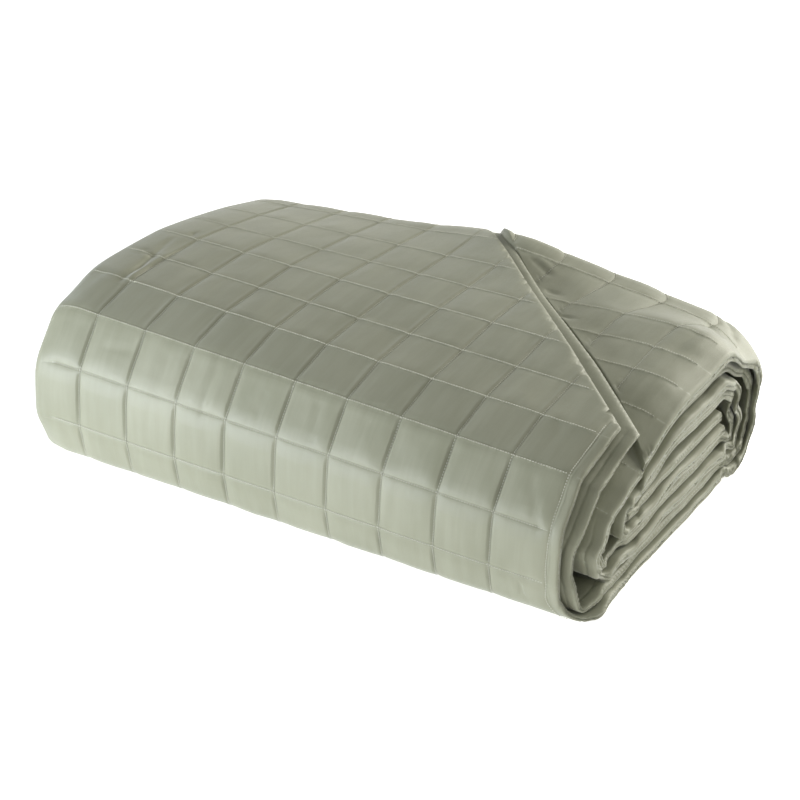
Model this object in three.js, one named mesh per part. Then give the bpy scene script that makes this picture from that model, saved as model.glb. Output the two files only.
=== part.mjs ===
// A quilted bed cover, doubled across its width and then folded over and over lengthwise into a flat bundle.
// The whole cover is one closed body: one sheet, bent round at the left end and wound through the bundle.
// Millimetres, +Z up. The bundle rests on Z = 0, its long side runs along X, and its front is at -Y.
import * as THREE from "three";

const { lerp } = THREE.MathUtils;

// Driving sizes of the cloth
const SQUARE = 57; // pitch of the seams that cross the bundle
const STITCH_STEP = 55; // pitch of the seams along the bundle, drawn in a little by the puffs
const SEAMS = 10; // seams that cross the bundle, the last one being the hem's own
const PLY = 9.6; // thickness of the cloth over a puff
const PLY_STEP = 12; // from one ply to the other in the doubled cloth
const SEAM_DIP = 2.8; // how deep a seam lies below the puffs beside it
const FLANK = 8; // width of the slope from a seam up to a puff
const HEM_WIDTH = 11; // from the hem's seam to the edge
const HEM_THICKNESS = 5.4;
const ROUND_EDGE = { inset: 5, thickness: 5.6 }; // the turned-under diagonal edge

// X of the hems at the right-hand end: on the flap and front, and in the turns inside
const HEMS = {
  outer: { front: 581, wound: 605 },
  inner: { front: 595, wound: 601 },
};
const WOUND_SHIFT = 33; // how far the wound turns lie to the right of the outer one
// Unevenness of the hems
const HEM_WAVE = { long: 2.2, longPitch: 61, short: 1.4, shortPitch: 23, innerPhase: 2 };

// The flap's diagonal edge, where its corner is turned under
const DIAGONAL = {
  x: 513, // where the edge crosses the row named next
  row: 2.5, // in stitch rows behind the front crest
  slope: 0.97, // rows towards the back for each square towards the left
  bow: 0.6, // how far the edge bows to the right, for each row squared
  lowerStep: 24, // how far the inner ply's edge stands out past the outer ply's
};

// Origin: the middle of the bundle's footprint, in the frame of the fold table
const ORIGIN = { x: 304.1, y: 199.3 };

// The outer face of the doubled cloth in the Y-Z section, from the end of the flap to the innermost end.
// One row for each bend: its corner point and the radius that rounds it.
const FOLDS = [
  { name: "flapEnd", y: 410, z: 68, r: 0 },
  { name: "flapBack", y: 413, z: 111, r: 34 },
  { name: "backCrest", y: 395, z: 159, r: 40 },
  { name: "topBack", y: 308, z: 161, r: 170 },
  { name: "topMiddle", y: 194, z: 162, r: 230 },
  { name: "topFront", y: 81, z: 154, r: 114 },
  { name: "frontCrest", y: 27, z: 140, r: 26 },
  { name: "frontUpper", y: -9, z: 95, r: 34 },
  { name: "frontLower", y: -14, z: 39, r: 34 },
  { name: "frontFoot", y: -5, z: 0, r: 16 },
  { name: "backFoot", y: 362, z: 0, r: 34 },
  { name: "backLower", y: 384, z: 43, r: 46 },
  { name: "backUpper", y: 385, z: 86, r: 34 },
  { name: "secondShoulder", y: 362, z: 120, r: 31 },
  { name: "secondBack", y: 285, z: 132, r: 170 },
  { name: "secondMiddle", y: 182, z: 135, r: 230 },
  { name: "secondFront", y: 86, z: 125, r: 114 },
  { name: "secondCrest", y: 35, z: 105, r: 28 },
  { name: "secondFace", y: 14, z: 68, r: 28 },
  { name: "secondFoot", y: 24, z: 26, r: 26 },
  { name: "lowerBack", y: 336, z: 26, r: 26 },
  { name: "lowerRise", y: 355, z: 57, r: 26 },
  { name: "thirdShoulder", y: 325, z: 98, r: 28 },
  { name: "thirdMiddle", y: 188, z: 107, r: 170 },
  { name: "thirdCrest", y: 68, z: 96, r: 22 },
  { name: "thirdFoot", y: 62, z: 52, r: 22 },
  { name: "innerEnd", y: 280, z: 52, r: 0 },
];

// How the pile departs from one section carried straight along X
const PILE_HEIGHT = 131; // height at which the lifts and drops below are full
const CROWN = { x: 342, front: 2.63e-4, back: 5.67e-9 }; // share of height lost for each mm along X
const SWELL = {
  mid: 19, // lift of the freed turns on the top
  back: 47, // their lift at the back
  out: 17, // how far they bulge out at the back
  ramp: 40, // width of the slope beside the flap's diagonal edge, on the top
  backRamp: 14, // its width at the back
  inner: 0.42, // share of the swelling in the turns further in
  fadeFrom: 342, // X from which the lift at the back dies away
  fadeOver: 205,
};
const RIGHT_END = {
  x: 547, // where the end starts
  run: 57,
  power: 1.6,
  inward: 40, // how far the back draws in, low down
  highInward: 25,
  drop: 7, // how far the turns under the flap sink
  backDrop: 1,
  flapDrop: 2,
};
const RIGHT_FOOT = { inward: 4, lift: 1, height: 91 };
const LEFT_END = { run: 34, drop: 0.015, frontDrop: 0.045, inward: 8, bulge: 2, backInward: 6 };
const PRESSED_FOOT = { share: 0.28, run: 42 }; // how far the cloth is pressed together at the front foot

// Where each of these departures sets in, and the distance over which it grows to its full share
const FRONT_ZONE = { from: 0, run: 86 }; // along Y
const TOP_ZONE = { from: 68, run: 148 };
const BACK_ZONE = { from: 285, run: 70 };
const BULGE_ZONE = { from: 285, run: 86 };
const RISE_ZONE = { from: 0, run: 90 }; // along the cloth, up the back
const END_DROP_ZONE = { from: 256, run: 68 };
const END_INWARD_ZONE = { from: 256, run: 114 };
const END_HIGH_ZONE = { from: 57, run: 57 }; // along Z
const LEFT_DROP_ZONE = { from: 60, run: 100 };
const LEFT_BULGE_ZONE = { from: 0, run: 60 }; // along Z
const FOOT_ZONE = { from: 470, run: 125 }; // along X
const SHIFT_ZONE = { from: 0, run: 180 }; // along the cloth, from the front foot
const HEM_ZONE = { from: -25, run: 50 };

// How finely the cloth is divided into points
const ROW_TURN = Math.PI / 6.2; // turn of a bend between one row and the next
const LEAST_ROW = 7; // rows stand at least this far apart
const LEAST_COLUMN = 4;
const LEVEL = 0.001; // places closer than this count as the same
const PLAIN_COLUMNS = [0.6, 3.5, 6.5, 9.5]; // in squares, where no puffs are raised
const FIRST_SEAM_UNDER_FLAP = 5; // the turn under the flap is puffed from this seam on, where it shows

const smooth = (t) => {
  const s = THREE.MathUtils.clamp(t, 0, 1);
  return s * s * (3 - 2 * s);
};

const within = (value, zone) => smooth((value - zone.from) / zone.run);

// Straight runs and arcs that follow the fold table, each with its start, heading, bend and length
function foldRuns(table) {
  const runs = [];
  const marks = {};
  let [y, z] = [table[0].y, table[0].z];
  let start = 0;
  for (let i = 1; i < table.length; i++) {
    const [from, to, next] = [table[i - 1], table[i], table[i + 1]];
    const heading = Math.atan2(to.z - from.z, to.y - from.y);
    let turn = 0;
    if (next) {
      const after = Math.atan2(next.z - to.z, next.y - to.y);
      turn = THREE.MathUtils.euclideanModulo(after - heading + Math.PI, 2 * Math.PI) - Math.PI;
    }
    const tangent = to.r * Math.abs(Math.tan(turn / 2));
    const [ey, ez] = [to.y - tangent * Math.cos(heading), to.z - tangent * Math.sin(heading)];
    const length = Math.hypot(ey - y, ez - z);
    runs.push({ start, length, y, z, heading, bend: 0 });
    start += length;
    const arc = to.r * Math.abs(turn);
    marks[to.name] = start + arc / 2;
    if (arc > 0) {
      runs.push({ start, length: arc, y: ey, z: ez, heading, bend: turn / arc });
      start += arc;
      y = to.y + tangent * Math.cos(heading + turn);
      z = to.z + tangent * Math.sin(heading + turn);
    }
  }
  return { runs, marks, length: start };
}

const PATH = foldRuns(FOLDS);
const FRONT_CREST = PATH.marks.frontCrest;
const FRONT_CREST_Y = FOLDS.find((fold) => fold.name === "frontCrest").y;
const FOOT = PATH.marks.frontFoot;
// The turn that comes up behind and runs on under the flap
const SECOND_START = PATH.marks.backFoot - 2 * STITCH_STEP;
const UNDER_FLAP = PATH.marks.backUpper;
const SECOND_END = PATH.marks.secondFoot;

// The outer face and its outward direction at length v along the cloth
function faceAt(v) {
  const run = PATH.runs.findLast((r) => r.start <= v) ?? PATH.runs[0];
  const along = v - run.start;
  const angle = run.heading + run.bend * along;
  let y = run.y + Math.cos(angle) * along;
  let z = run.z + Math.sin(angle) * along;
  if (run.bend) {
    y = run.y + (Math.sin(angle) - Math.sin(run.heading)) / run.bend;
    z = run.z - (Math.cos(angle) - Math.cos(run.heading)) / run.bend;
  }
  return { y, z, ny: Math.sin(angle), nz: -Math.cos(angle) };
}

// X of the flap's diagonal edge at length v, and the same line seen from above at a given Y
const diagonalFrom = (rows) => DIAGONAL.x - (rows * SQUARE) / DIAGONAL.slope + DIAGONAL.bow * rows * rows;
const diagonalAt = (v) => diagonalFrom((FRONT_CREST - v) / STITCH_STEP - DIAGONAL.row);
const diagonalOver = (y) => diagonalFrom((y - FRONT_CREST_Y) / SQUARE - DIAGONAL.row);

// The turns under the flap are freed past its diagonal edge, and swell up and out there
function swollen(x, y, z, v) {
  const out = SWELL.out * within(y, BULGE_ZONE);
  const past = (x - diagonalOver(y + out) - DIAGONAL.lowerStep) * Math.SQRT1_2;
  const atBack = within(y, BACK_ZONE);
  const ramp = lerp(SWELL.ramp, SWELL.backRamp, atBack);
  const upTheBack = v < SECOND_END ? within(v - PATH.marks.backFoot, RISE_ZONE) : 0;
  const freed = smooth(past / ramp) * within(y, TOP_ZONE) * lerp(SWELL.inner, 1, upTheBack);
  const fade = 1 - (x - SWELL.fadeFrom) / SWELL.fadeOver;
  const lift = lerp(SWELL.mid, SWELL.back * fade, atBack);
  return [y + freed * out, z + (freed * lift * z) / PILE_HEIGHT];
}

// The turns sink and draw in towards the right-hand end
function atRightEnd(x, y, z, wound) {
  const end = Math.max(0, (x - RIGHT_END.x) / RIGHT_END.run) ** RIGHT_END.power;
  const drop = wound ? RIGHT_END.drop + RIGHT_END.backDrop * within(y, END_DROP_ZONE) : RIGHT_END.flapDrop;
  const low = z - (end * drop * z) / PILE_HEIGHT;
  const inward = lerp(RIGHT_END.inward, RIGHT_END.highInward, within(low, END_HIGH_ZONE));
  return [y - end * inward * within(y, END_INWARD_ZONE), low];
}

// The left-hand end is rounded off, and the front foot steps back towards the right
function atLeftAndFoot(x, y, z) {
  const front = 1 - within(y, FRONT_ZONE);
  const left = THREE.MathUtils.clamp(1 - x / LEFT_END.run, 0, 1) ** 2;
  const forward = left * front * lerp(LEFT_END.inward, -LEFT_END.bulge, within(z, LEFT_BULGE_ZONE));
  const rounded = y + forward - left * LEFT_END.backInward * within(y + forward, BULGE_ZONE);
  const low = z * (1 - left * (LEFT_END.drop + LEFT_END.frontDrop * (1 - within(rounded, LEFT_DROP_ZONE))));
  const foot = within(x, FOOT_ZONE) * front * Math.max(0, 1 - low / RIGHT_FOOT.height);
  return [rounded + foot * RIGHT_FOOT.inward, low + foot * RIGHT_FOOT.lift];
}

// The point at X, length v and depth below the outer face, with the pile's crown, swelling and rounded ends
function placed(x, v, depth) {
  const face = faceAt(v);
  const pressed = 1 - PRESSED_FOOT.share * (1 - smooth(Math.abs(v - FOOT) / PRESSED_FOOT.run));
  const wound = v > SECOND_START;
  let y = face.y - face.ny * depth * pressed;
  let z = face.z - face.nz * depth * pressed;
  z *= 1 + (CROWN.front - CROWN.back * y * y) * (CROWN.x - x);
  if (wound) [y, z] = swollen(x, y, z, v);
  [y, z] = atRightEnd(x, y, z, wound);
  [y, z] = atLeftAndFoot(x, y, z);
  return [x - ORIGIN.x, y - ORIGIN.y, z];
}

const shiftAt = (v) => WOUND_SHIFT * within(v - FOOT, SHIFT_ZONE);

// Across the cloth, w runs from the inner ply's hem (negative) round the left fold (0) to the outer ply's hem
const FOLD_RADIUS = PLY_STEP / 2;
const TURN = (FOLD_RADIUS * Math.PI) / 2; // half the cloth's length round the left fold
const LEFT = PLY / 2;
const widthAt = (x) => x - LEFT - FOLD_RADIUS + TURN;

// The middle of the cloth at w: its X, its depth below the outer face, and which way its own face looks
function plyAt(w) {
  if (Math.abs(w) < TURN) {
    const angle = w / FOLD_RADIUS;
    return {
      x: LEFT + FOLD_RADIUS * (1 - Math.cos(angle)),
      depth: PLY / 2 + FOLD_RADIUS * (1 - Math.sin(angle)),
      nx: -Math.cos(angle),
      nd: -Math.sin(angle),
    };
  }
  const upper = w > 0;
  return {
    x: LEFT + FOLD_RADIUS + Math.abs(w) - TURN,
    depth: PLY / 2 + (upper ? 0 : PLY_STEP),
    nx: 0,
    nd: upper ? -1 : 1,
  };
}

// Where a ply ends at length v, as X before the turns are shifted: at its hem, or on the flap's diagonal edge
function edgeAt(v, ply) {
  const hems = ply > 0 ? HEMS.outer : HEMS.inner;
  const wound = within(v - FOOT, HEM_ZONE);
  const phase = ply > 0 ? 0 : HEM_WAVE.innerPhase;
  const longWave = HEM_WAVE.long * Math.sin(v / HEM_WAVE.longPitch + phase);
  const shortWave = HEM_WAVE.short * Math.sin(v / HEM_WAVE.shortPitch);
  const hem = lerp(hems.front, hems.wound, wound) + (longWave + shortWave) * wound - shiftAt(v);
  const diagonal = diagonalAt(v) + (ply > 0 ? 0 : DIAGONAL.lowerStep);
  return diagonal < hem ? { x: diagonal, turned: true } : { x: hem, turned: false };
}

// The row at which a ply's diagonal edge meets its hem
function cornerRow(ply) {
  const reach = (ply > 0 ? HEMS.outer.front : HEMS.inner.front - DIAGONAL.lowerStep) - DIAGONAL.x;
  return FRONT_CREST - STITCH_STEP * (DIAGONAL.row - (reach / SQUARE) * DIAGONAL.slope);
}

const positions = [];
const triangles = [];

// Adds the point at (w, v) on the cloth's face (side 1) or back (side -1), half its thickness out
function addPoint(w, v, side, half) {
  const ply = plyAt(w);
  const point = placed(ply.x + side * half * ply.nx + shiftAt(v), v, ply.depth + side * half * ply.nd);
  return positions.push(point) - 1;
}

// Joins two chains of points, each with its place t along the chain, by one strip of triangles.
// Where both chains have a point at the same place, the strip steps along the first chain first, or along the
// second one if it is mirrored.
function strip(a, b, { turned = false, mirrored = false } = {}) {
  const add = (p, q, r) => triangles.push(p.id, ...(turned ? [r.id, q.id] : [q.id, r.id]));
  const level = mirrored ? -LEVEL : LEVEL;
  let [i, j] = [0, 0];
  while (i < a.length - 1 || j < b.length - 1) {
    const nearer = i < a.length - 1 && j < b.length - 1 && a[i + 1].t + a[i].t < b[j + 1].t + b[j].t + level;
    const alongA = nearer || j === b.length - 1;
    if (alongA) add(a[i], b[j], a[++i]);
    else add(a[i], b[j], b[++j]);
  }
}

// Rows of points along the cloth: its ends, the corners of the flap, the stitch rows and the bends.
// Each stitch row has a flank on both sides where flat puffs are raised, and one row half-way to the next in
// the turn under the flap.
function rowsOf(withFlanks) {
  const ends = [0, HEM_WIDTH, PATH.length - HEM_WIDTH, PATH.length];
  const rows = [...ends, cornerRow(1), cornerRow(-1)].map((v) => ({ v, keep: true }));
  for (let v = FRONT_CREST % STITCH_STEP; v < SECOND_END; v += STITCH_STEP) {
    const beside = v > SECOND_START ? [STITCH_STEP / 2] : [-FLANK, FLANK];
    rows.push({ v, keep: true });
    if (withFlanks || v > SECOND_START) rows.push(...beside.map((step) => ({ v: v + step, keep: true })));
  }
  for (const run of PATH.runs) {
    const parts = Math.ceil((Math.abs(run.bend) * run.length) / ROW_TURN);
    for (let p = 0; run.bend && p <= parts; p++) rows.push({ v: run.start + (run.length * p) / parts });
  }
  rows.sort((p, q) => p.v - q.v);
  const crowded = (row, i) =>
    rows.some((other, j) => (other.keep || j < i) && j !== i && Math.abs(other.v - row.v) < LEAST_ROW);
  return rows.filter((row, i) => row.v >= 0 && (row.keep || !crowded(row, i))).map((row) => row.v);
}

const offSeam = (value, pitch) => Math.abs(value - pitch * Math.round(value / pitch));

// How far the surface dips at (x, v) towards the nearest seam, the left fold having none along it
function seamDip(x, v) {
  const across = x > SQUARE / 2 ? offSeam(x, SQUARE) : SQUARE;
  const along = offSeam(v - FRONT_CREST, STITCH_STEP);
  return SEAM_DIP * Math.max(0, 1 - Math.min(across, along) / FLANK);
}

// The columns at length v between the left fold and a ply's edge, in squares. On the puffed face there are
// three to a seam, or two in the turn under the flap. Its four faces share their columns, so that they stay
// parallel as it swells.
function columnsAt(v, puffed) {
  if (v > SECOND_END || (v < SECOND_START && !puffed)) return PLAIN_COLUMNS;
  const seams = Array.from({ length: SEAMS - 1 }, (_, i) => i + 1);
  const flank = FLANK / SQUARE;
  if (v < SECOND_START) return seams.flatMap((i) => [i - flank, i, i + flank]);
  const first = puffed && v < UNDER_FLAP ? 1 : FIRST_SEAM_UNDER_FLAP;
  const plain = PLAIN_COLUMNS.filter((place) => place < first - 0.5);
  return [...plain, first - 0.5, ...seams.slice(first - 1).flatMap((i) => [i, i + 0.5])];
}

// Points across one ply at length v, from the left fold to the edge
function columnsOf(v, ply, side) {
  const edge = edgeAt(v, ply);
  const inset = edge.turned ? ROUND_EDGE.inset : HEM_WIDTH;
  const atEnd = v === 0 || v === PATH.length;
  const puffed = ply > 0 && side > 0;
  const full = (atEnd ? HEM_THICKNESS : PLY) / 2;
  const halfAt = (x) => full - (!puffed || atEnd || v > SECOND_END ? 0 : seamDip(x, v));
  const columns = [TURN / 2, TURN].map((w) => ({ w, half: full }));
  if (ply > 0) columns.unshift({ w: 0, half: full });
  for (const place of columnsAt(v, puffed)) {
    const x = place * SQUARE;
    if (x < edge.x - inset - LEAST_COLUMN) columns.push({ w: widthAt(x), half: halfAt(x) });
  }
  const insideEdge = edge.turned ? halfAt(edge.x - inset) : full - SEAM_DIP / 2;
  columns.push({ w: widthAt(edge.x - inset), half: insideEdge });
  columns.push({ w: widthAt(edge.x), half: (edge.turned ? ROUND_EDGE.thickness : HEM_THICKNESS) / 2 });
  return columns.map((c) => ({ t: ply * c.w, id: addPoint(ply * c.w, v, side, c.half) }));
}

// One face of one ply, as rows of points joined by strips
function plyFace(rows, ply, side) {
  const grid = rows.map((v) => {
    const columns = columnsOf(v, ply, side);
    return ply > 0 ? columns : columns.reverse();
  });
  const facing = { turned: side < 0, mirrored: ply < 0 };
  for (let r = 0; r + 1 < grid.length; r++) strip(grid[r], grid[r + 1], facing);
  const chain = (pick) => grid.map((columns, r) => ({ t: rows[r], id: pick(columns).id }));
  return { grid, low: chain((c) => c[0]), high: chain((c) => c[c.length - 1]) };
}

// The whole cover: the puffed outer face, three plain faces, the folds and rims between them, and both ends
function quiltGeometry() {
  const puffedRows = rowsOf(true);
  const plainRows = rowsOf(false);
  const outerFace = plyFace(puffedRows, 1, 1);
  const outerBack = plyFace(plainRows, 1, -1);
  const innerFace = plyFace(plainRows, -1, 1);
  const innerBack = plyFace(plainRows, -1, -1);
  strip(outerFace.low, innerFace.high);
  strip(innerBack.high, outerBack.low);
  strip(outerBack.high, outerFace.high);
  strip(innerFace.low, innerBack.low);
  const last = (part) => part.grid[part.grid.length - 1];
  strip([...innerBack.grid[0], ...outerBack.grid[0]], [...innerFace.grid[0], ...outerFace.grid[0]]);
  strip([...last(innerFace), ...last(outerFace)], [...last(innerBack), ...last(outerBack)]);
  const geometry = new THREE.BufferGeometry();
  geometry.setAttribute("position", new THREE.Float32BufferAttribute(positions.flat(), 3));
  geometry.setIndex(triangles);
  geometry.computeVertexNormals();
  return geometry;
}

const sateen = new THREE.MeshStandardMaterial({
  name: "sage_sateen",
  color: 0x9a9c84,
  roughness: 0.55,
  metalness: 0,
});

const quilt = new THREE.Mesh(quiltGeometry(), sateen);
quilt.name = "quilt";

const bundle = new THREE.Group();
bundle.add(quilt);

export default bundle;
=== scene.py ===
"""A quilted bed cover in sage green sateen, doubled and wound into a flat bundle, on a pale floor."""

import bisect
import logging
import math
from dataclasses import dataclass, field
from enum import Enum
from typing import Any, NamedTuple, Sequence

import bpy
import numpy as np
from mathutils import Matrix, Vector


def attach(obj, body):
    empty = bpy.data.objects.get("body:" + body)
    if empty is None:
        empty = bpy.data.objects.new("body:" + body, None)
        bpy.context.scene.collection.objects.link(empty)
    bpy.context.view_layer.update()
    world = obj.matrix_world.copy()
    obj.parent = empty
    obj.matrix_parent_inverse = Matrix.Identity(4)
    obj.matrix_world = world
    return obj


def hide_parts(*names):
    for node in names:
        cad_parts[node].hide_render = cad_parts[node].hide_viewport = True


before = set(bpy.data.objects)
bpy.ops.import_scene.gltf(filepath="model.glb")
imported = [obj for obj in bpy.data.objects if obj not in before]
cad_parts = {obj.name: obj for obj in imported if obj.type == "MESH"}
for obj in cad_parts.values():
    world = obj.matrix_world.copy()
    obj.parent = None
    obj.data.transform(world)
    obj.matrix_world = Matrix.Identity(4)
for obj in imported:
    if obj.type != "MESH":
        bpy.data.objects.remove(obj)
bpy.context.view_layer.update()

MM = 0.001
LOG = logging.getLogger("quilt")

Array = np.ndarray


# The parts of the cloth and the folds
class Ply(Enum):
    """The two plies of the doubled cloth."""

    OUTER = 1
    INNER = -1


class Side(Enum):
    """The two sides of one ply."""

    FACE = 1
    BACK = -1


class Bend(NamedTuple):
    """One bend of the bundle's section: its corner point and the radius that rounds it, in millimetres."""

    name: str
    y: float
    z: float
    r: float


class Zone(NamedTuple):
    """A stretch over which a change sets in."""

    start: float
    run: float


FOLDS = (
    Bend("flapEnd", 410, 68, 0),
    Bend("flapBack", 413, 111, 34),
    Bend("backCrest", 395, 159, 40),
    Bend("topBack", 308, 161, 170),
    Bend("topMiddle", 194, 162, 230),
    Bend("topFront", 81, 154, 114),
    Bend("frontCrest", 27, 140, 34),
    Bend("frontUpper", -9.4, 95.4, 52),
    Bend("frontLower", -14.2, 39, 50),
    Bend("frontFoot", -4.4, 0, 16),
    Bend("backFoot", 362, 0, 34),
    Bend("backLower", 384, 43, 46),
    Bend("backUpper", 385, 86, 34),
    Bend("secondShoulder", 362, 120, 31),
    Bend("secondBack", 285, 132, 170),
    Bend("secondMiddle", 182, 135, 230),
    Bend("secondFront", 86, 125, 114),
    Bend("secondCrest", 35, 105, 28),
    Bend("secondFace", 14, 68, 28),
    Bend("secondFoot", 24, 26, 26),
    Bend("lowerBack", 336, 26, 26),
    Bend("lowerRise", 355, 57, 26),
    Bend("thirdShoulder", 325, 98, 28),
    Bend("thirdMiddle", 188, 107, 170),
    Bend("thirdCrest", 68, 96, 22),
    Bend("thirdFoot", 62, 52, 22),
    Bend("innerEnd", 280, 52, 0),
)


def smooth(t: Array | float) -> Array:
    """A soft step from 0 to 1 as t goes from 0 to 1."""
    s = np.clip(t, 0.0, 1.0)
    return s * s * (3 - 2 * s)


def within(value: Array | float, zone: Zone) -> Array:
    """How far a change has set in at a value, from 0 before its zone to 1 past it."""
    return smooth((value - zone.start) / zone.run)


def blend(a: Array | float, b: Array | float, t: Array | float) -> Array:
    """The value that is the share t of the way from a to b."""
    return a + (b - a) * t


# The shape in which the cloth lies
class SmoothNoise:
    """Seeded soft noise over a plane, between -1 and 1, the same on each run."""

    LATTICE = 96

    def __init__(self, seed: int) -> None:
        """Draws the lattice of values.

        Args:
            seed: the seed of the draw.
        """
        self.values = np.random.default_rng(seed).uniform(-1, 1, (self.LATTICE, self.LATTICE))

    def at(self, a: Array | float, b: Array | float) -> Array:
        """Reads the noise.

        Args:
            a: places along the first axis, in lattice steps.
            b: places along the second axis.

        Returns:
            The noise at each place.
        """
        a, b = np.broadcast_arrays(np.asarray(a, float), np.asarray(b, float))
        i, j = np.floor(a).astype(int), np.floor(b).astype(int)
        s, t = smooth(a - i), smooth(b - j)
        n = self.LATTICE
        low = blend(self.values[i % n, j % n], self.values[(i + 1) % n, j % n], s)
        high = blend(self.values[i % n, (j + 1) % n], self.values[(i + 1) % n, (j + 1) % n], s)
        return blend(low, high, t)


class FoldPath:
    """The outer face in section, as straight runs and arcs from the flap's end to the innermost end."""

    def __init__(self, bends: Sequence[Bend]) -> None:
        """Works out the runs, and the length at the middle of each bend.

        Args:
            bends: the corner points in the order of the cloth.
        """
        runs: list[tuple[float, float, float, float, float]] = []
        self.marks: dict[str, float] = {}
        self.arcs: list[tuple[float, float, float]] = []
        y, z, start = bends[0].y, bends[0].z, 0.0
        for i in range(1, len(bends)):
            last, bend = bends[i - 1], bends[i]
            heading = math.atan2(bend.z - last.z, bend.y - last.y)
            turn = 0.0
            if i + 1 < len(bends):
                after = math.atan2(bends[i + 1].z - bend.z, bends[i + 1].y - bend.y)
                turn = (after - heading + math.pi) % math.tau - math.pi
            tangent = bend.r * abs(math.tan(turn / 2))
            end_y, end_z = bend.y - tangent * math.cos(heading), bend.z - tangent * math.sin(heading)
            runs.append((start, y, z, heading, 0.0))
            start += math.hypot(end_y - y, end_z - z)
            arc = bend.r * abs(turn)
            self.marks[bend.name] = start + arc / 2
            if arc > 0:
                runs.append((start, end_y, end_z, heading, turn / arc))
                self.arcs.append((start, arc, abs(turn)))
                start += arc
                y = bend.y + tangent * math.cos(heading + turn)
                z = bend.z + tangent * math.sin(heading + turn)
        self.length = start
        self.runs = np.array(runs)

    def at(self, v: Array) -> tuple[Array, Array, Array, Array]:
        """The outer face at lengths v along the cloth.

        Args:
            v: lengths along the cloth.

        Returns:
            Y, Z and the outward direction's Y and Z.
        """
        index = np.clip(np.searchsorted(self.runs[:, 0], v, side="right") - 1, 0, None)
        start, y, z, heading, bend = self.runs[index].T
        along = v - start
        angle = heading + bend * along
        straight = bend == 0
        safe = np.where(straight, 1.0, bend)
        y_arc = (np.sin(angle) - np.sin(heading)) / safe
        z_arc = (np.cos(heading) - np.cos(angle)) / safe
        y = y + np.where(straight, np.cos(angle) * along, y_arc)
        z = z + np.where(straight, np.sin(angle) * along, z_arc)
        return y, z, np.sin(angle), -np.cos(angle)


PATH = FoldPath(FOLDS)


@dataclass(frozen=True)
class Diagonal:
    """The flap's diagonal edge, where its corner is turned under."""

    x: float = 513
    row: float = 2.5
    slope: float = 0.97
    bow: float = 0.6
    lower_step: float = 24
    back_step: float = 13

    def at_row(self, rows: Array, square: float, lower: Array | bool = False) -> Array:
        """X of the edge, or of the lower ply's edge, so many rows behind the one that is named."""
        step = blend(self.lower_step, self.back_step, smooth(rows / 3.6))
        return self.x - rows * square / self.slope + self.bow * rows * rows + lower * step


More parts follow.
